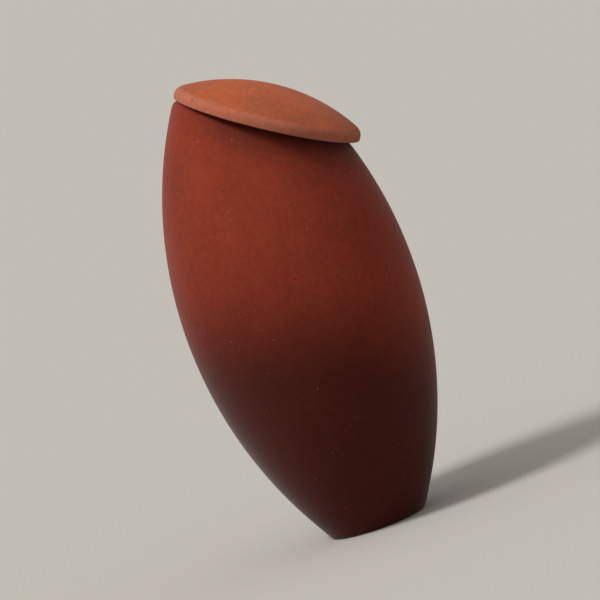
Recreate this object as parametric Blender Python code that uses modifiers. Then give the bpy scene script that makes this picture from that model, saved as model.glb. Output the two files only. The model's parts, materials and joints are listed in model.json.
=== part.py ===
# Irrigation olla: a porous terracotta vessel with a slanting oval mouth, and the domed lid that lies on it.
# Metres, +Z up. The origin is the centre of the flat foot, and the mouth slopes down towards +X.

import math

import bmesh
import bpy
from mathutils import Vector

# Vessel: a spindle with a round arc for its outline, cut flat below for the foot and on a slant for the mouth
BODY_RADIUS = 0.0273
OUTLINE_RADIUS = 0.0980  # of the arc from end to end
FOOT_RADIUS = 0.0111
MOUTH_SLANT = math.radians(32.6)  # between the mouth's direction and +Z
MOUTH_REACH = 0.0381  # from the body's middle to the plane of the mouth
WALL = 0.0045
FLOOR = 0.0055
LIP_OUTER_ROUNDING = 0.0020
LIP_INNER_ROUNDING = 0.0012
FOOT_ROUNDING = 0.0008
FLOOR_ROUNDING = 0.0040  # inside, round the floor

# Lid: a dome with an upright edge, and a ring below that keeps it from sliding down the slant
LID_END_OVERHANG = 0.0015  # past the lip, at the two ends of its oval, if the lid lay in the middle
LID_SIDE_OVERHANG = 0.0034
LID_EDGE = 0.0023
LID_RISE = 0.0058  # of the dome above its edge
LID_SHOULDER = 0.0014
LID_CORNER = 0.0004
LID_ROOF = 0.0038  # clay between the dome and the hollow under it
HOLLOW_CORNER = 0.0014
RING_PLAY = 0.0013  # between the ring and the mouth, at the sides
RING_DEPTH = 0.0046
RING_WALL = 0.0027
RING_CORNER = 0.0008
REST_GAP = 0.0003  # between pieces that rest on each other

# Clay colours and roughness
DAMP_CLAY = (0.275, 0.043, 0.021)
DAMP_ROUGHNESS = 0.85
DRY_CLAY = (0.48, 0.120, 0.052)
DRY_ROUGHNESS = 0.9

# Facets
SEGMENTS = 48
OUTSIDE_STEPS = 20
INSIDE_STEPS = 14
CORNER_STEPS = 3
DOME_STEPS = 7
SHARP_ANGLE = math.radians(50)
MERGE_DISTANCE = 1e-6

# The wall's outside and inside are arcs round one centre, which lies across the axis at the body's middle
ARC_CENTRE = OUTLINE_RADIUS - BODY_RADIUS
INNER_ARC = OUTLINE_RADIUS - WALL
BODY_MIDDLE = math.sqrt(OUTLINE_RADIUS**2 - (ARC_CENTRE + FOOT_RADIUS) ** 2)
FOOT_LATITUDE = -math.asin(BODY_MIDDLE / OUTLINE_RADIUS)
FLOOR_LATITUDE = -math.asin((BODY_MIDDLE - FLOOR) / INNER_ARC)


def clear_scene():
    for obj in list(bpy.data.objects):
        bpy.data.objects.remove(obj)


def clay(name, colour, roughness):
    material = bpy.data.materials.new(name)
    material.use_nodes = True
    shader = material.node_tree.nodes["Principled BSDF"]
    shader.inputs["Base Color"].default_value = (*colour, 1.0)
    shader.inputs["Roughness"].default_value = roughness
    shader.inputs["Metallic"].default_value = 0.0
    return material


def rounded(before, corner, after, size):
    """Points round a corner, from one size ahead of it to one size past it."""
    start = corner + (before - corner).normalized() * size
    end = corner + (after - corner).normalized() * size
    points = []
    for step in range(CORNER_STEPS + 1):
        t = step / CORNER_STEPS
        points.append(start.lerp(corner, t).lerp(corner.lerp(end, t), t))
    return points


def arc(radius, centre_height, start, end):
    """Points along an arc whose centre is on the axis, from one angle off the axis to another."""
    points = []
    for step in range(DOME_STEPS + 1):
        t = start + (end - start) * step / DOME_STEPS
        points.append(Vector((radius * math.sin(t), centre_height + radius * math.cos(t))))
    return points


def on_meridian(latitude, arc_radius):
    """A point of the wall's section, as (radius, height)."""
    return Vector((arc_radius * math.cos(latitude) - ARC_CENTRE, BODY_MIDDLE + arc_radius * math.sin(latitude)))


def meridian(start, end, arc_radius, steps):
    return [on_meridian(start + (end - start) * step / steps, arc_radius) for step in range(steps + 1)]


def mouth_latitude(angle, arc_radius):
    """Where the meridian at this angle round +Z meets the mouth's plane."""
    across = math.cos(angle) * math.sin(MOUTH_SLANT)
    upright = math.cos(MOUTH_SLANT)
    reach = MOUTH_REACH + ARC_CENTRE * across
    return math.atan2(upright, across) - math.acos(reach / (arc_radius * math.hypot(across, upright)))


def on_mouth(angle, arc_radius):
    radius, height = on_meridian(mouth_latitude(angle, arc_radius), arc_radius)
    return Vector((radius * math.cos(angle), radius * math.sin(angle), height))


def mouth_oval(arc_radius):
    """Half sizes and centre of the oval in which the mouth's plane cuts the outside or the inside."""
    high_end = on_mouth(math.pi, arc_radius)
    low_end = on_mouth(0.0, arc_radius)
    half_short = max(on_mouth(2 * math.pi * i / SEGMENTS, arc_radius).y for i in range(SEGMENTS))
    return (low_end - high_end).length / 2, half_short, (low_end + high_end) / 2


def wall_outline(angle):
    """The wall's section at this angle, as (radius, height), from the foot's centre up and over the lip and down
    inside. Every angle has as many points."""
    foot_centre = Vector((0.0, 0.0))
    floor_centre = Vector((0.0, FLOOR))
    outer = meridian(FOOT_LATITUDE, mouth_latitude(angle, OUTLINE_RADIUS), OUTLINE_RADIUS, OUTSIDE_STEPS)
    inner = meridian(mouth_latitude(angle, INNER_ARC), FLOOR_LATITUDE, INNER_ARC, INSIDE_STEPS)
    outline = [foot_centre]
    outline += rounded(foot_centre, outer[0], outer[1], FOOT_ROUNDING)
    outline += outer[1:-1]
    outline += rounded(outer[-2], outer[-1], inner[0], LIP_OUTER_ROUNDING)
    outline += rounded(outer[-1], inner[0], inner[1], LIP_INNER_ROUNDING)
    outline += inner[1:-1]
    outline += rounded(inner[-2], inner[-1], floor_centre, FLOOR_ROUNDING)
    outline.append(floor_centre)
    return outline


def make_vessel(collection):
    """A loft from the round foot to the oval lip: the meridians are alike, but each ends at the slanting mouth."""
    mesh = bpy.data.meshes.new("vessel")
    build = bmesh.new()
    rows = []
    for segment in range(SEGMENTS):
        angle = 2 * math.pi * segment / SEGMENTS
        row = []
        for radius, height in wall_outline(angle):
            row.append(build.verts.new((radius * math.cos(angle), radius * math.sin(angle), height)))
        rows.append(row)
    for row, following in zip(rows, rows[1:] + rows[:1]):
        for i in range(len(row) - 1):
            build.faces.new((row[i], following[i], following[i + 1], row[i + 1]))
    bmesh.ops.remove_doubles(build, verts=build.verts, dist=MERGE_DISTANCE)
    bmesh.ops.recalc_face_normals(build, faces=build.faces)
    build.to_mesh(mesh)
    build.free()
    mesh.shade_smooth()
    mesh.set_sharp_from_angle(angle=SHARP_ANGLE)
    mesh.materials.append(clay("damp_terracotta", DAMP_CLAY, DAMP_ROUGHNESS))
    vessel = bpy.data.objects.new("vessel", mesh)
    collection.objects.link(vessel)
    return vessel


def lid_outline(radius, ring_radius):
    """The lid's profile as (radius, height over its seat), from the top of the dome down its outside and round
    the ring to the middle of the hollow."""
    dome_radius = (radius**2 + LID_RISE**2) / (2 * LID_RISE)
    dome_centre = LID_EDGE + LID_RISE - dome_radius
    roof_radius = dome_radius - LID_ROOF
    hollow_radius = ring_radius - RING_WALL
    dome = arc(dome_radius, dome_centre, 0.0, math.asin((radius - LID_SHOULDER) / dome_radius))
    roof = arc(roof_radius, dome_centre, math.asin(hollow_radius / roof_radius), 0.0)
    edge_top = Vector((radius, LID_EDGE))
    edge_foot = Vector((radius, 0.0))
    ring_root = Vector((ring_radius, 0.0))
    ring_outer = Vector((ring_radius, -RING_DEPTH))
    ring_inner = Vector((hollow_radius, -RING_DEPTH))
    outline = dome[:-1]
    outline += rounded(dome[-2], edge_top, edge_foot, LID_SHOULDER)
    outline += rounded(edge_top, edge_foot, ring_root, LID_CORNER)
    outline.append(ring_root)
    outline += rounded(ring_root, ring_outer, ring_inner, RING_CORNER)
    outline += rounded(ring_outer, ring_inner, roof[0], RING_CORNER)
    outline += rounded(ring_inner, roof[0], roof[-1], HOLLOW_CORNER)
    outline += [point for point in roof if point.x < hollow_radius - HOLLOW_CORNER]
    return outline


def make_mouth_frame(collection):
    """An empty at the middle of the mouth's hollow, its Z along the way the lid lifts and its X down the slant."""
    _, _, centre = mouth_oval(INNER_ARC)
    frame = bpy.data.objects.new("mouth_frame", None)
    frame.location = centre
    frame.rotation_euler = (0.0, MOUTH_SLANT, 0.0)
    frame.empty_display_size = BODY_RADIUS
    collection.objects.link(frame)
    return frame


def make_lid(collection, mouth_frame):
    """A turned shape drawn out to the mouth's oval. It has slid down the slant until its ring is at the lip."""
    lip_long, lip_short, _ = mouth_oval(OUTLINE_RADIUS)
    hollow_long, hollow_short, _ = mouth_oval(INNER_ARC)
    radius = lip_short + LID_SIDE_OVERHANG
    stretch = (lip_long + LID_END_OVERHANG) / radius
    ring_radius = hollow_short - RING_PLAY
    points = [(x, 0.0, z) for x, z in lid_outline(radius, ring_radius)]
    mesh = bpy.data.meshes.new("lid")
    mesh.from_pydata(points, [(i, i + 1) for i in range(len(points) - 1)], [])
    mesh.materials.append(clay("dry_terracotta", DRY_CLAY, DRY_ROUGHNESS))
    lid = bpy.data.objects.new("lid", mesh)
    turn = lid.modifiers.new("turn", "SCREW")
    turn.steps = SEGMENTS
    turn.render_steps = SEGMENTS
    turn.use_merge_vertices = True
    turn.merge_threshold = MERGE_DISTANCE
    lid.parent = mouth_frame
    lid.scale = (stretch, 1.0, 1.0)
    lid.location = (hollow_long - ring_radius * stretch - REST_GAP, 0.0, REST_GAP)
    collection.objects.link(lid)
    return lid


def main():
    clear_scene()
    collection = bpy.data.collections.new("irrigation_olla")
    bpy.context.scene.collection.children.link(collection)
    make_vessel(collection)
    mouth_frame = make_mouth_frame(collection)
    make_lid(collection, mouth_frame)


main()
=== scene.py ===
import json
import math

import bmesh
import bpy
from mathutils import Matrix, Vector


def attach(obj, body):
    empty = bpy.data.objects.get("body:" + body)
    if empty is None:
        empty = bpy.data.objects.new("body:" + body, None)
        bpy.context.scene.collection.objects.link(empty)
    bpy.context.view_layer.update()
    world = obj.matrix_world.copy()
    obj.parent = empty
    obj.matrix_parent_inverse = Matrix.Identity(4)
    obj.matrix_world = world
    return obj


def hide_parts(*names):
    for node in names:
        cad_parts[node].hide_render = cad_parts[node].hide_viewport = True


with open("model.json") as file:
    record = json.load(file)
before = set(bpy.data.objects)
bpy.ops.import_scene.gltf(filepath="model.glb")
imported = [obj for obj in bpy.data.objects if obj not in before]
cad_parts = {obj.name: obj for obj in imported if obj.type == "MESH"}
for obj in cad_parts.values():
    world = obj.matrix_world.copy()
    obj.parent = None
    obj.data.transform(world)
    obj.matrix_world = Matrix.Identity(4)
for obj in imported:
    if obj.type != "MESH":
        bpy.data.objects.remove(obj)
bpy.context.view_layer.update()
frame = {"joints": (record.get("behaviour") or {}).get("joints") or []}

# Irrigation olla: a porous terracotta vessel with a slanting mouth, and its loose lid.
# Metres, +Z up, the foot's centre at the origin, the mouth sloping down towards +X.

liftAxis = Vector(frame["joints"][0]["axis"]).normalized()
slant = math.atan2(liftAxis.x, liftAxis.z)
print("frame loaded, the mouth slants by", round(math.degrees(slant), 1), "degrees")


# Node helpers: a Wire is a value in a node tree that can be added and multiplied like a number
class Wire:
    def __init__(self, tree, socket):
        self.tree = tree
        self.socket = socket

    def __add__(self, other):
        return calc("ADD", self, other)

    def __radd__(self, other):
        return calc("ADD", other, self)

    def __sub__(self, other):
        return calc("SUBTRACT", self, other)

    def __rsub__(self, other):
        return calc("SUBTRACT", other, self)

    def __mul__(self, other):
        return calc("MULTIPLY", self, other)

    def __rmul__(self, other):
        return calc("MULTIPLY", other, self)

    def __truediv__(self, other):
        return calc("DIVIDE", self, other)

    def __neg__(self):
        return calc("MULTIPLY", self, -1.0)


def feed(socket, value):
    if isinstance(value, Wire):
        value.tree.links.new(value.socket, socket)
    else:
        socket.default_value = value


def addNode(tree, kind, outlet=0, settings=None, **inputs):
    # inputs go by the socket's name, with _ for a space
    node = tree.nodes.new(kind)
    for name, value in (settings or {}).items():
        setattr(node, name, value)
    for name, value in inputs.items():
        feed(node.inputs[name.replace("_", " ")], value)
    return Wire(tree, node.outputs[outlet])


def calc(operation, *values):
    tree = next(value.tree for value in values if isinstance(value, Wire))
    node = tree.nodes.new("ShaderNodeMath")
    node.operation = operation
    for socket, value in zip(node.inputs, values):
        feed(socket, value)
    return Wire(tree, node.outputs[0])


def sine(angle):
    return calc("SINE", angle)


def cosine(angle):
    return calc("COSINE", angle)


def hypotenuse(a, b):
    return calc("SQRT", a * a + b * b)


def between(a, b, share):
    return a + (b - a) * share


def smoothStep(value, low, high):
    # 0 at low, 1 at high, whichever of them is the larger
    return addNode(value.tree, "ShaderNodeMapRange", settings={"interpolation_type": "SMOOTHSTEP"},
                   Value=value, From_Min=low, From_Max=high)


def vectorCalc(operation, a, b, outlet=0):
    node = a.tree.nodes.new("ShaderNodeVectorMath")
    node.operation = operation
    feed(node.inputs[0], a)
    feed(node.inputs["Scale" if operation == "SCALE" else 1], b)
    return Wire(a.tree, node.outputs[outlet])


def alongAxis(point, axis):
    return vectorCalc("DOT_PRODUCT", point, tuple(axis), outlet="Value")


def blendPoint(a, b, share):
    return vectorCalc("ADD", a, vectorCalc("SCALE", vectorCalc("SUBTRACT", b, a), share))


def bend(before, corner, after, share):
    return blendPoint(blendPoint(before, corner, share), blendPoint(corner, after, share), share)


def splitXyz(vector):
    node = vector.tree.nodes.new("ShaderNodeSeparateXYZ")
    feed(node.inputs[0], vector)
    return [Wire(vector.tree, outlet) for outlet in node.outputs]


def startTree(name, sizes):
    # a geometry tree with one float input for each size, and one for the clay
    tree = bpy.data.node_groups.new(name, "GeometryNodeTree")
    tree.interface.new_socket("Geometry", in_out="INPUT", socket_type="NodeSocketGeometry")
    tree.interface.new_socket("Geometry", in_out="OUTPUT", socket_type="NodeSocketGeometry")
    for size in sizes:
        tree.interface.new_socket(size, in_out="INPUT", socket_type="NodeSocketFloat")
    tree.interface.new_socket("Clay", in_out="INPUT", socket_type="NodeSocketMaterial")
    given = tree.nodes.new("NodeGroupInput")
    return tree, {socket.name: Wire(tree, socket) for socket in given.outputs if socket.name}


def endTree(tree, geometry, clay):
    real = addNode(tree, "GeometryNodeRealizeInstances", Geometry=geometry)
    clayed = addNode(tree, "GeometryNodeSetMaterial", Geometry=real, Material=clay)
    result = tree.nodes.new("NodeGroupOutput")
    tree.links.new(clayed.socket, result.inputs[0])


def addTree(piece, tree, sizes, clay):
    modifier = piece.modifiers.new(tree.name, "NODES")
    modifier.node_group = tree
    for item in tree.interface.items_tree:
        if item.in_out == "INPUT" and item.name in sizes:
            modifier[item.identifier] = sizes[item.name]
        elif item.in_out == "INPUT" and item.name == "Clay":
            modifier[item.identifier] = clay


def plainMesh(piece):
    # the result of the piece's modifiers takes their place
    shaped = piece.evaluated_get(bpy.context.evaluated_depsgraph_get())
    mesh = bpy.data.meshes.new_from_object(shaped)
    piece.modifiers.clear()
    piece.data = mesh
    mesh.name = piece.name
    print(piece.name, "has", len(mesh.polygons), "faces")


# Cast clay is never quite true: its surface sinks in softly here and there, and never swells past its size
castUnevenness = {
    "Hollow Depth": 0.00012,
    "Hollow Span": 0.024,
    "Ripple Depth": 0.00004,
    "Ripple Span": 0.0042,
    "Flat Level": 0.0004,        # the foot stays flat up to here
    "Flat Blend": 0.0040,
    "Seed": 3.0,
}


def makeUnevenTree():
    tree, size = startTree("castUnevenness", castUnevenness)
    place = addNode(tree, "GeometryNodeInputPosition")
    normal = addNode(tree, "GeometryNodeInputNormal")
    height = splitXyz(place)[2]

    def waves(span):
        return addNode(tree, "ShaderNodeTexNoise", settings={"noise_dimensions": "4D"}, Vector=place,
                       W=size["Seed"], Scale=calc("DIVIDE", 1.0, size[span]), Detail=1.0)

    depth = waves("Hollow Span") * size["Hollow Depth"] + waves("Ripple Span") * size["Ripple Depth"]
    fade = smoothStep(height, size["Flat Level"], size["Flat Level"] + size["Flat Blend"])
    sunk = addNode(tree, "GeometryNodeSetPosition", Geometry=size["Geometry"],
                   Offset=vectorCalc("SCALE", normal, -(depth * fade)))
    endTree(tree, sunk, size["Clay"])
    return tree


# What both clays share: soft patches, grain, open pores, and specks of iron and of grog (crushed tile)
clayGrain = {
    "patchFrom": 0.35,           # the noise's levels between which one colour turns into the other
    "patchTo": 0.65,
    "fineSpan": 0.0012,
    "fineShade": (0.90, 1.08),
    "grainSpan": 0.0006,
    "grainHeight": 0.000022,
    "pebbleSpan": 0.0028,
    "pebbleHeight": 0.000045,
    "poreSpan": 0.0024,
    "poreRadius": 0.00035,
    "poreShare": 0.22,
    "poreSeed": 0.31,
    "poreDepth": 0.00016,
    "reliefStrength": 0.8,
    "speckSpan": 0.0019,
    "speckRadius": 0.00026,
    "speckCore": 0.35,           # share of a speck's or a pore's radius inside which it is full
    "ironShare": 0.16,
    "ironSeed": 0.17,
    "ironColour": (0.055, 0.020, 0.014),
    "grogShare": 0.14,
    "grogSeed": 0.53,
    "grogColour": (0.45, 0.19, 0.11),
    "dustRoughness": 0.4,        # the dust is a sheen, pale at grazing angles
}
noiseReach = {"low": 0.3, "middle": 0.5, "high": 0.7}      # a noise node mostly keeps inside these


def clayNoise(where, span, detail=2.0, roughness=0.5):
    return addNode(where.tree, "ShaderNodeTexNoise", Vector=where, Scale=1.0 / span, Detail=detail,
                   Roughness=roughness)


def wander(noise, width):
    # swings about 0, by about a fifth of the width each way
    return (noise - noiseReach["middle"]) * width


def mixColour(a, b, share, blend="MIX"):
    tree = next(value.tree for value in (a, b, share) if isinstance(value, Wire))
    node = tree.nodes.new("ShaderNodeMix")
    node.data_type = "RGBA"
    node.blend_type = blend
    feed(node.inputs[0], share)
    # inputs 6 and 7 are the node's two colours, and output 2 is their mix
    for socket, colour in ((node.inputs[6], a), (node.inputs[7], b)):
        feed(socket, colour if isinstance(colour, Wire) else (*colour, 1.0))
    return Wire(tree, node.outputs[2])


def shade(colour, noise, low, high):
    # darkens or lightens by a grey that goes from low to high as the noise goes through its reach
    grey = addNode(noise.tree, "ShaderNodeMapRange", Value=noise, From_Min=noiseReach["low"],
                   From_Max=noiseReach["high"], To_Min=low, To_Max=high)
    greyColour = addNode(noise.tree, "ShaderNodeCombineColor", Red=grey, Green=grey, Blue=grey)
    return mixColour(colour, greyColour, 1.0, blend="MULTIPLY")


def specks(where, span, radius, share, seed):
    # round specks in some of the cells of a honeycomb: 1 at a speck's middle, 0 past its radius
    moved = vectorCalc("ADD", where, (seed, seed, seed))
    cells = where.tree.nodes.new("ShaderNodeTexVoronoi")
    feed(cells.inputs["Vector"], moved)
    cells.inputs["Scale"].default_value = 1.0 / span
    fromMiddle = Wire(where.tree, cells.outputs["Distance"])
    cellColour = Wire(where.tree, cells.outputs["Color"])
    chosen = calc("LESS_THAN", addNode(where.tree, "ShaderNodeSeparateColor", Color=cellColour), share)
    return smoothStep(fromMiddle, radius / span, clayGrain["speckCore"] * radius / span) * chosen


def clayPatches(where, look):
    # the clay's two colours in soft patches, and the two noises that the rest of its finish follows
    mottle = clayNoise(where, look["mottleSpan"], detail=3.0, roughness=0.55)
    cloud = clayNoise(where, look["cloudSpan"], detail=4.0, roughness=0.62)
    patches = smoothStep(mottle, clayGrain["patchFrom"], clayGrain["patchTo"])
    return mixColour(look["warmColour"], look["deepColour"], patches), mottle, cloud


def clayShades(colour, where, cloud, look):
    fine = clayNoise(where, clayGrain["fineSpan"])
    colour = shade(colour, cloud, *look["cloudShade"])
    return shade(colour, fine, *clayGrain["fineShade"])


def startClay(name, look):
    clay = bpy.data.materials.new(name)
    clay.use_nodes = True
    shader = clay.node_tree.nodes["Principled BSDF"]
    shader.inputs["Metallic"].default_value = 0.0
    shader.inputs["Specular IOR Level"].default_value = look["specular"]
    shader.inputs["Sheen Weight"].default_value = look["dust"]
    shader.inputs["Sheen Roughness"].default_value = clayGrain["dustRoughness"]
    where = addNode(clay.node_tree, "ShaderNodeTexCoord", outlet="Object")
    return clay, shader, where


def endClay(shader, where, colour, roughness, look):
    grain = clayGrain
    iron = specks(where, grain["speckSpan"], grain["speckRadius"], grain["ironShare"], grain["ironSeed"])
    grog = specks(where, grain["speckSpan"], grain["speckRadius"], grain["grogShare"], grain["grogSeed"])
    pores = specks(where, grain["poreSpan"], grain["poreRadius"], grain["poreShare"], grain["poreSeed"])
    colour = mixColour(colour, grain["ironColour"], iron * look["speckStrength"])
    colour = mixColour(colour, grain["grogColour"], grog * look["speckStrength"])
    # the pores are darkened towards the damp colour: painted shade in the pits
    colour = mixColour(colour, look["dampColour"], pores * look["poreStrength"])

    # height in metres: sand grain, a soft pebbling and the pores
    height = clayNoise(where, grain["grainSpan"], detail=3.0, roughness=0.6) * grain["grainHeight"]
    height = height + clayNoise(where, grain["pebbleSpan"]) * grain["pebbleHeight"]
    height = height - pores * grain["poreDepth"]
    relief = addNode(where.tree, "ShaderNodeBump", Height=height, Distance=1.0,
                     Strength=grain["reliefStrength"])
    feed(shader.inputs["Base Color"], colour)
    feed(shader.inputs["Roughness"], roughness)
    feed(shader.inputs["Normal"], relief)


# The picture shows the vessel at a lean to the left: the camera rolls by it, and the key and the lower body's
# damp and painted shade follow
viewSetup = {
    "leanDegrees": 19.4,
    "elevationDegrees": 7.8,
    "distance": 3.0,
    "windowWidth": 0.136,        # how much the picture's width shows at the vessel
    "sensorWidth": 36.0,         # millimetres
}
pictureTurn = Matrix.Rotation(math.radians(viewSetup["leanDegrees"]), 4, "Y")


# Vessel: a spindle with a flat foot, cut off on a slant for the mouth
vesselSettings = {
    "size": {                            # the inputs of its geometry tree
        "Body Radius": 0.0273,
        "Outline Radius": 0.0980,        # of the round arc from end to end
        "Foot Radius": 0.0111,
        "Mouth Slant": slant,
        "Mouth Reach": 0.0381,           # from the body's middle to the mouth's plane
        "Wall": 0.0045,
        "Floor": 0.0055,
        "Lip Outer Rounding": 0.0020,
        "Lip Inner Rounding": 0.0012,
        "Foot Rounding": 0.0008,
        "Floor Rounding": 0.0040,
    },
    "mesh": {
        "segments": 160,
        "outsideRows": 110,
        "insideRows": 70,
        "cornerRows": 6,
        "footRows": 14,
        "floorRows": 8,
        "lipRows": 5,
        "weldDistance": 1e-6,
    },
    "look": {
        "warmColour": (0.288, 0.0405, 0.0165),
        "deepColour": (0.256, 0.0315, 0.0130),
        # darker than damp clay alone: the damp colour holds painted shade as well
        "dampColour": (0.080, 0.0106, 0.0046),
        "mottleSpan": 0.030,
        "cloudSpan": 0.0085,
        "cloudShade": (0.92, 1.06),
        "shadeRiseToCamera": 0.4,                 # the darkening's upper limit rises this steeply towards the camera: painted shade
        "dampFrom": 0.053,               # dry and unshaded above this level
        "dampTo": 0.024,                 # and darkest below this one: damp, and painted shade
        "dampWander": 0.006,
        "dampFray": 0.0024,
        "lidShadowFrom": 0.0085,           # painted shadow of the lid on the lip, down to here from the mouth
        "lidShadowTo": 0.0015,
        "lidShadowWander": 0.003,
        "lidShadowShare": 0.58,
        "lidShadowNoneAt": -0.0090,            # but none at the mouth's high end, where the lid overhangs least
        "lidShadowFullAt": -0.0020,
        "dryRoughness": 0.82,
        "dampRoughness": 0.66,
        "roughnessWander": 0.14,
        "speckStrength": 0.42,
        "poreStrength": 0.6,
        "specular": 0.14,
        "dust": 0.18,
    },
}
vesselSize = vesselSettings["size"]
sideCentre = vesselSize["Outline Radius"] - vesselSize["Body Radius"]      # the side's arc turns this far off
bodyMiddle = math.sqrt(vesselSize["Outline Radius"] ** 2 - (sideCentre + vesselSize["Foot Radius"]) ** 2)


def makeVesselTree():
    tree, size = startTree("slantedVessel", vesselSize)

    # every strip is a flat grid, from -0.5 to 0.5 both ways: its width goes round the vessel, its height up
    # the wall
    across, up, _ = splitXyz(addNode(tree, "GeometryNodeInputPosition"))
    angle = (across + 0.5) * (2 * math.pi)
    share = up + 0.5
    outerArc = size["Outline Radius"]
    innerArc = outerArc - size["Wall"]
    arcCentre = outerArc - size["Body Radius"]
    footReach = arcCentre + size["Foot Radius"]
    middle = calc("SQRT", outerArc * outerArc - footReach * footReach)

    def onBody(latitude, arcRadius):
        out = arcRadius * cosine(latitude) - arcCentre
        return addNode(tree, "ShaderNodeCombineXYZ", X=out * cosine(angle), Y=out * sine(angle),
                       Z=middle + arcRadius * sine(latitude))

    def mouthLatitude(arcRadius):
        sideways = cosine(angle) * sine(size["Mouth Slant"])
        upright = cosine(size["Mouth Slant"])
        reach = size["Mouth Reach"] + arcCentre * sideways
        turn = calc("ARCCOSINE", reach / (arcRadius * hypotenuse(sideways, upright)))
        return calc("ARCTAN2", upright, sideways) - turn

    def onward(start, goal, length):
        gap = vectorCalc("DISTANCE", start, goal, outlet="Value")
        return blendPoint(start, goal, length / gap)

    footLatitude = -calc("ARCSINE", middle / outerArc)
    floorLatitude = -calc("ARCSINE", (middle - size["Floor"]) / innerArc)
    outerRim = mouthLatitude(outerArc)
    innerRim = mouthLatitude(innerArc)
    footTop = footLatitude + size["Foot Rounding"] / outerArc
    outerEnd = outerRim - size["Lip Outer Rounding"] / outerArc
    innerEnd = innerRim - size["Lip Inner Rounding"] / innerArc
    floorTop = floorLatitude + size["Floor Rounding"] / innerArc

    footCorner = onBody(footLatitude, outerArc)
    footCentre = vectorCalc("MULTIPLY", footCorner, (0, 0, 1))
    footEdge = onward(footCorner, footCentre, size["Foot Rounding"])
    lipOut = onBody(outerRim, outerArc)
    lipIn = onBody(innerRim, innerArc)
    lipStart = onward(lipOut, lipIn, size["Lip Outer Rounding"])
    lipStop = onward(lipIn, lipOut, size["Lip Inner Rounding"])
    floorCorner = onBody(floorLatitude, innerArc)
    floorCentre = vectorCalc("MULTIPLY", floorCorner, (0, 0, 1))
    floorEdge = onward(floorCorner, floorCentre, size["Floor Rounding"])

    # from the foot's centre up and over the lip and down to the floor's centre: rows, 1 if inside, points
    rows = vesselSettings["mesh"]
    strips = [
        (rows["footRows"], 0.0, blendPoint(footCentre, footEdge, share)),
        (rows["cornerRows"], 0.0, bend(footEdge, footCorner, onBody(footTop, outerArc), share)),
        (rows["outsideRows"], 0.0, onBody(between(footTop, outerEnd, share), outerArc)),
        (rows["cornerRows"], 0.0, bend(onBody(outerEnd, outerArc), lipOut, lipStart, share)),
        (rows["lipRows"], 0.0, blendPoint(lipStart, lipStop, share)),
        (rows["cornerRows"], 0.0, bend(lipStop, lipIn, onBody(innerEnd, innerArc), share)),
        (rows["insideRows"], 1.0, onBody(between(innerEnd, floorTop, share), innerArc)),
        (rows["cornerRows"], 1.0, bend(onBody(floorTop, innerArc), floorCorner, floorEdge, share)),
        (rows["floorRows"], 1.0, blendPoint(floorEdge, floorCentre, share)),
    ]
    joined = tree.nodes.new("GeometryNodeJoinGeometry")
    for rowCount, inside, position in strips:
        grid = addNode(tree, "GeometryNodeMeshGrid", Size_X=1.0, Size_Y=1.0,
                       Vertices_X=rows["segments"] + 1, Vertices_Y=rowCount + 1)
        strip = addNode(tree, "GeometryNodeSetPosition", Geometry=grid, Position=position)
        marked = addNode(tree, "GeometryNodeStoreNamedAttribute", Geometry=strip, Name="inside", Value=inside)
        tree.links.new(marked.socket, joined.inputs[0])
    welded = addNode(tree, "GeometryNodeMergeByDistance", Geometry=Wire(tree, joined.outputs[0]),
                     Distance=rows["weldDistance"])
    endTree(tree, addNode(tree, "GeometryNodeSetShadeSmooth", Geometry=welded), size["Clay"])
    return tree


def vesselDampAndShade(where, mottle, cloud, look):
    # the lower body is darker, from damp and from painted shade, and everything inside is damp
    dampUp = pictureTurn.to_3x3() @ Vector((0, look["shadeRiseToCamera"], 1))
    level = alongAxis(where, dampUp) + wander(mottle, look["dampWander"]) + wander(cloud, look["dampFray"])
    lowerBody = smoothStep(level, look["dampFrom"], look["dampTo"])
    inside = addNode(where.tree, "ShaderNodeAttribute", outlet="Fac", settings={"attribute_name": "inside"})

    # painted shadow of the lid on the lip below it, fainter than the damp, and none at the mouth's high end
    mouthHeight = vesselSize["Mouth Reach"] + bodyMiddle * math.cos(slant)
    fromMouth = mouthHeight - alongAxis(where, liftAxis) + wander(mottle, look["lidShadowWander"])
    lip = smoothStep(fromMouth, look["lidShadowFrom"], look["lidShadowTo"]) * look["lidShadowShare"]
    lip = lip * smoothStep(splitXyz(where)[0], look["lidShadowNoneAt"], look["lidShadowFullAt"])
    return calc("MAXIMUM", calc("MAXIMUM", lowerBody, inside), lip)


def makeVesselClay():
    look = vesselSettings["look"]
    clay, shader, where = startClay("dampShadedTerracotta", look)
    colour, mottle, cloud = clayPatches(where, look)
    # damp here also holds the lower body's painted shade and the lid's painted shadow on the lip
    damp = vesselDampAndShade(where, mottle, cloud, look)
    colour = mixColour(colour, look["dampColour"], damp)
    colour = clayShades(colour, where, cloud, look)
    roughness = between(look["dryRoughness"], look["dampRoughness"], damp)
    endClay(shader, where, colour, roughness + wander(cloud, look["roughnessWander"]), look)
    return clay


def makeVessel(unevenTree):
    clay = makeVesselClay()
    vessel = bpy.data.objects.new("terracottaVessel", bpy.data.meshes.new("terracottaVessel"))
    bpy.context.scene.collection.objects.link(vessel)
    addTree(vessel, makeVesselTree(), vesselSize, clay)
    addTree(vessel, unevenTree, castUnevenness, clay)
    plainMesh(vessel)
    return vessel


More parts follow.
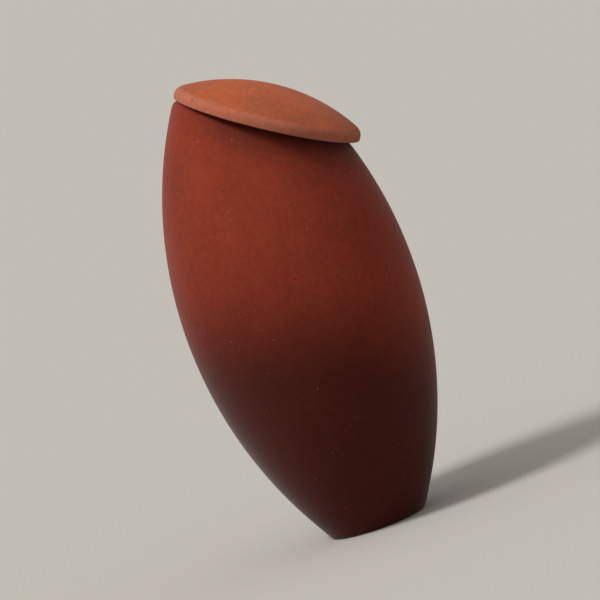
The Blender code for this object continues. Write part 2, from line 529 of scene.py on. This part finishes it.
# Lid: a turned shape drawn out to the mouth's oval, domed above, with a ring below that sits in the mouth
lidSettings = {
    "size": {
        "endOverhang": 0.0015,           # past the lip along the slope
        "sideOverhang": 0.0034,          # and across it
        "edge": 0.0023,                  # the upright edge's height
        "rise": 0.0058,                  # of the dome over the edge
        "shoulder": 0.0014,              # rounding between dome and edge
        "corner": 0.0004,                # rounding under the edge
        "roof": 0.0038,                  # the dome's thickness over the ring's hollow
        "hollowCorner": 0.0014,
        "ringPlay": 0.0013,              # between ring and wall, across the slope
        "ringDepth": 0.0046,
        "ringWall": 0.0027,
        "ringCorner": 0.0008,
        "restGap": 0.0003,               # between touching faces
    },
    "mesh": {
        "segments": 176,
        "domeRows": 44,
        "roofRows": 16,
        "flatRows": 6,
        "cornerRows": 6,
        "weldDistance": 1e-6,
    },
    "look": {
        "warmColour": (0.518, 0.114, 0.038),
        "deepColour": (0.405, 0.098, 0.042),
        "rimColour": (0.500, 0.155, 0.092),
        "dampColour": (0.280, 0.062, 0.031),
        "mottleSpan": 0.014,
        "cloudSpan": 0.0040,
        "cloudShade": (0.93, 1.05),
        "rimFrom": 0.0016,               # the rim is paler and pinker from here to its edge
        "rimTo": 0.0004,
        "rimWander": 0.001,
        "rimShare": 0.75,
        "dampFrom": 0.0004,              # the underside is damp, below the seat
        "dampTo": -0.0008,
        "dampShare": 0.6,
        "roughness": 0.88,
        "roughnessWander": 0.12,
        "speckStrength": 0.38,
        "poreStrength": 0.5,
        "specular": 0.20,
        "dust": 0.05,
    },
}
lidSize = lidSettings["size"]


def onMouth(angle, wall):
    # a point of the lip, outside the wall with 0 and inside with its thickness
    arcRadius = vesselSize["Outline Radius"] - wall
    sideways = math.cos(angle) * math.sin(slant)
    upright = math.cos(slant)
    reach = vesselSize["Mouth Reach"] + sideCentre * sideways
    turn = math.acos(reach / (arcRadius * math.hypot(sideways, upright)))
    latitude = math.atan2(upright, sideways) - turn
    out = arcRadius * math.cos(latitude) - sideCentre
    return Vector((out * math.cos(angle), out * math.sin(angle), bodyMiddle + arcRadius * math.sin(latitude)))


def mouthOval(wall):
    # half sizes and centre of the mouth
    highEnd = onMouth(math.pi, wall)
    lowEnd = onMouth(0, wall)
    steps = vesselSettings["mesh"]["segments"]
    halfShort = max(onMouth(2 * math.pi * i / steps, wall).y for i in range(steps))
    return (lowEnd - highEnd).length / 2, halfShort, (lowEnd + highEnd) / 2


def roundCorner(before, corner, after, size, rows):
    start = corner + (before - corner).normalized() * size
    end = corner + (after - corner).normalized() * size
    steps = [i / rows for i in range(rows + 1)]
    return [start.lerp(corner, t).lerp(corner.lerp(end, t), t) for t in steps]


def straight(start, end, rows):
    return [start.lerp(end, i / rows) for i in range(1, rows)]


def arc(radius, centreHeight, start, end, rows):
    turns = [start + (end - start) * i / rows for i in range(rows + 1)]
    return [Vector((radius * math.sin(t), 0, centreHeight + radius * math.cos(t))) for t in turns]


def lidSection(radius, ringRadius):
    # half of the lid cut through its axis, from the dome's top round the ring to the hollow's middle
    size = lidSize
    rows = lidSettings["mesh"]
    domeRadius = (radius**2 + size["rise"] ** 2) / (2 * size["rise"])
    domeCentre = size["edge"] + size["rise"] - domeRadius
    roofRadius = domeRadius - size["roof"]
    hollowRadius = ringRadius - size["ringWall"]
    domeEnd = math.asin((radius - size["shoulder"]) / domeRadius)
    roofEnd = math.asin((hollowRadius - size["hollowCorner"]) / roofRadius)
    dome = arc(domeRadius, domeCentre, 0, domeEnd, rows["domeRows"])
    roof = arc(roofRadius, domeCentre, roofEnd, 0, rows["roofRows"])
    roofHeight = domeCentre + math.sqrt(roofRadius**2 - hollowRadius**2)
    edgeTop = Vector((radius, 0, size["edge"]))
    edgeFoot = Vector((radius, 0, 0))
    ringRoot = Vector((ringRadius, 0, 0))
    ringOut = Vector((ringRadius, 0, -size["ringDepth"]))
    ringIn = Vector((hollowRadius, 0, -size["ringDepth"]))
    hollowTop = Vector((hollowRadius, 0, roofHeight))
    shoulder = roundCorner(dome[-2], edgeTop, edgeFoot, size["shoulder"], rows["cornerRows"])
    lowEdge = roundCorner(edgeTop, edgeFoot, ringRoot, size["corner"], rows["cornerRows"])
    ringOuter = roundCorner(ringRoot, ringOut, ringIn, size["ringCorner"], rows["cornerRows"])
    ringInner = roundCorner(ringOut, ringIn, hollowTop, size["ringCorner"], rows["cornerRows"])
    hollow = roundCorner(ringIn, hollowTop, roof[0], size["hollowCorner"], rows["cornerRows"])
    section = dome[:-1] + shoulder + lowEdge
    section += straight(lowEdge[-1], ringRoot, rows["flatRows"]) + [ringRoot]
    section += straight(ringRoot, ringOuter[0], rows["flatRows"]) + ringOuter
    section += ringInner + straight(ringInner[-1], hollow[0], rows["flatRows"]) + hollow + roof[1:]
    return section


def turnedMesh(name, section, segments, weldDistance):
    build = bmesh.new()
    points = [build.verts.new(point) for point in section]
    edges = [build.edges.new(pair) for pair in zip(points, points[1:])]
    bmesh.ops.spin(build, geom=points + edges, cent=(0, 0, 0), axis=(0, 0, 1), steps=segments,
                   angle=2 * math.pi, use_duplicate=False)
    bmesh.ops.remove_doubles(build, verts=build.verts, dist=weldDistance)
    bmesh.ops.recalc_face_normals(build, faces=build.faces)

    # spin leaves the faces in another order each run, so they are sorted by their points
    build.verts.index_update()
    pointCount = len(build.verts)

    def orderNumber(face):
        low, middle, high = sorted(point.index for point in face.verts)[:3]
        return (low * pointCount + middle) * pointCount + high

    build.faces.sort(key=orderNumber)
    mesh = bpy.data.meshes.new(name)
    build.to_mesh(mesh)
    build.free()
    return mesh


# The lid lies on the mouth's slope, slid down until its ring meets the wall
lipLong, lipShort, _ = mouthOval(0)
hollowLong, hollowShort, mouthCentre = mouthOval(vesselSize["Wall"])
lidRadius = lipShort + lidSize["sideOverhang"]
lidStretch = (lipLong + lidSize["endOverhang"]) / lidRadius
ringRadius = hollowShort - lidSize["ringPlay"]
lidSlide = hollowLong - ringRadius * lidStretch - lidSize["restGap"]
lidSeat = (Matrix.Translation(mouthCentre) @ Matrix.Rotation(slant, 4, "Y")
           @ Matrix.Translation((lidSlide, 0, lidSize["restGap"])))


def makeLidClay():
    look = lidSettings["look"]
    clay, shader, where = startClay("dryTerracotta", look)
    colour, _, cloud = clayPatches(where, look)

    # the lid's own frame: distance from its axis, in the round, and height over its seat
    centred = vectorCalc("SUBTRACT", where, tuple(lidSeat.to_translation()))
    turned = addNode(clay.node_tree, "ShaderNodeMapping", Vector=centred, Rotation=(0, -slant, 0))
    along, sideways, height = splitXyz(turned)
    fromAxis = hypotenuse(along / lidStretch, sideways) + wander(cloud, look["rimWander"])
    rim = smoothStep(fromAxis, lidRadius - look["rimFrom"], lidRadius - look["rimTo"])
    colour = mixColour(colour, look["rimColour"], rim * look["rimShare"])
    colour = clayShades(colour, where, cloud, look)
    damp = smoothStep(height, look["dampFrom"], look["dampTo"])
    colour = mixColour(colour, look["dampColour"], damp * look["dampShare"])
    endClay(shader, where, colour, look["roughness"] + wander(cloud, look["roughnessWander"]), look)
    return clay


def makeLid(unevenTree):
    rows = lidSettings["mesh"]
    section = lidSection(lidRadius, ringRadius)
    mesh = turnedMesh("terracottaLid", section, rows["segments"], rows["weldDistance"])
    mesh.transform(lidSeat @ Matrix.Diagonal((lidStretch, 1, 1, 1)))
    mesh.shade_smooth()
    lid = bpy.data.objects.new("terracottaLid", mesh)
    bpy.context.scene.collection.objects.link(lid)
    addTree(lid, unevenTree, castUnevenness, makeLidClay())
    plainMesh(lid)
    return lid


# Stage, light and camera
stageLook = {
    "floorSize": 16.0,
    "floorColour": (0.543, 0.511, 0.459),
    "floorBounce": (0.240, 0.228, 0.210),
    "floorRoughness": 0.9,
    "floorSpecular": 0.1,
    "skyColour": (0.500, 0.475, 0.430),
    "fillLight": 0.60,           # from the side of the key
    "fillShade": 0.19,           # from the side across from it
    "keyStrength": 1.84,
    "keyAngleDegrees": 16,
    "keyFrom": (-0.71, -0.29, 0.63),     # as the picture sees it: left, towards the camera, up
}


def backgroundRays(tree):
    # 1 for the rays that see the background: the camera's own, mirrored ones and those that pass through
    rays = tree.nodes.new("ShaderNodeLightPath")
    direct = Wire(tree, rays.outputs["Is Camera Ray"])
    mirrored = Wire(tree, rays.outputs["Is Glossy Ray"])
    through = Wire(tree, rays.outputs["Is Transmission Ray"])
    return calc("MAXIMUM", calc("MAXIMUM", direct, mirrored), through)


def makeStage():
    bpy.ops.mesh.primitive_plane_add(size=stageLook["floorSize"])
    floor = bpy.context.object
    floor.name = "paleFloor"
    paint = bpy.data.materials.new("paleFloor")
    paint.use_nodes = True
    shader = paint.node_tree.nodes["Principled BSDF"]
    seen = backgroundRays(paint.node_tree)
    feed(shader.inputs["Base Color"], mixColour(stageLook["floorBounce"], stageLook["floorColour"], seen))
    shader.inputs["Roughness"].default_value = stageLook["floorRoughness"]
    shader.inputs["Specular IOR Level"].default_value = stageLook["floorSpecular"]
    floor.data.materials.append(paint)


def makeLight():
    lamp = bpy.data.lights.new("key", "SUN")
    lamp.energy = stageLook["keyStrength"]
    lamp.angle = math.radians(stageLook["keyAngleDegrees"])
    key = bpy.data.objects.new("key", lamp)
    towards = (pictureTurn.to_3x3() @ Vector(stageLook["keyFrom"])).normalized()
    key.rotation_euler = towards.to_track_quat("Z", "Y").to_euler()
    bpy.context.scene.collection.objects.link(key)

    # the fill is stronger on the key's side
    world = bpy.data.worlds.new("studio")
    world.use_nodes = True
    tree = world.node_tree
    tree.nodes.clear()
    direction = addNode(tree, "ShaderNodeTexCoord", outlet="Generated")
    keySide = alongAxis(direction, towards) * 0.5 + 0.5      # 1 towards the key, 0 away from it
    level = between(stageLook["fillShade"], stageLook["fillLight"], keySide)
    fill = addNode(tree, "ShaderNodeCombineColor", Red=level, Green=level, Blue=level)
    sky = mixColour(fill, stageLook["skyColour"], backgroundRays(tree))
    background = addNode(tree, "ShaderNodeBackground", Color=sky)
    result = tree.nodes.new("ShaderNodeOutputWorld")
    tree.links.new(background.socket, result.inputs["Surface"])
    bpy.context.scene.world = world


def makeCamera():
    lens = bpy.data.cameras.new("camera")
    lens.sensor_width = viewSetup["sensorWidth"]
    lens.lens = viewSetup["sensorWidth"] * viewSetup["distance"] / viewSetup["windowWidth"]
    camera = bpy.data.objects.new("camera", lens)
    aim = Matrix.Rotation(math.radians(90 - viewSetup["elevationDegrees"]), 4, "X")
    camera.matrix_world = (Matrix.Translation((0, 0, bodyMiddle)) @ pictureTurn @ aim
                           @ Matrix.Translation((0, 0, viewSetup["distance"])))
    bpy.context.scene.collection.objects.link(camera)
    bpy.context.scene.camera = camera


unevenTree = makeUnevenTree()
vessel = makeVessel(unevenTree)
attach(vessel, "vessel")
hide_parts("vessel")
print("vessel made")

lid = makeLid(unevenTree)
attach(lid, "lid")
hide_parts("lid")
print("lid made")

makeStage()
makeLight()
makeCamera()
bpy.context.scene.view_settings.view_transform = "Standard"
print("stage, light and camera set")
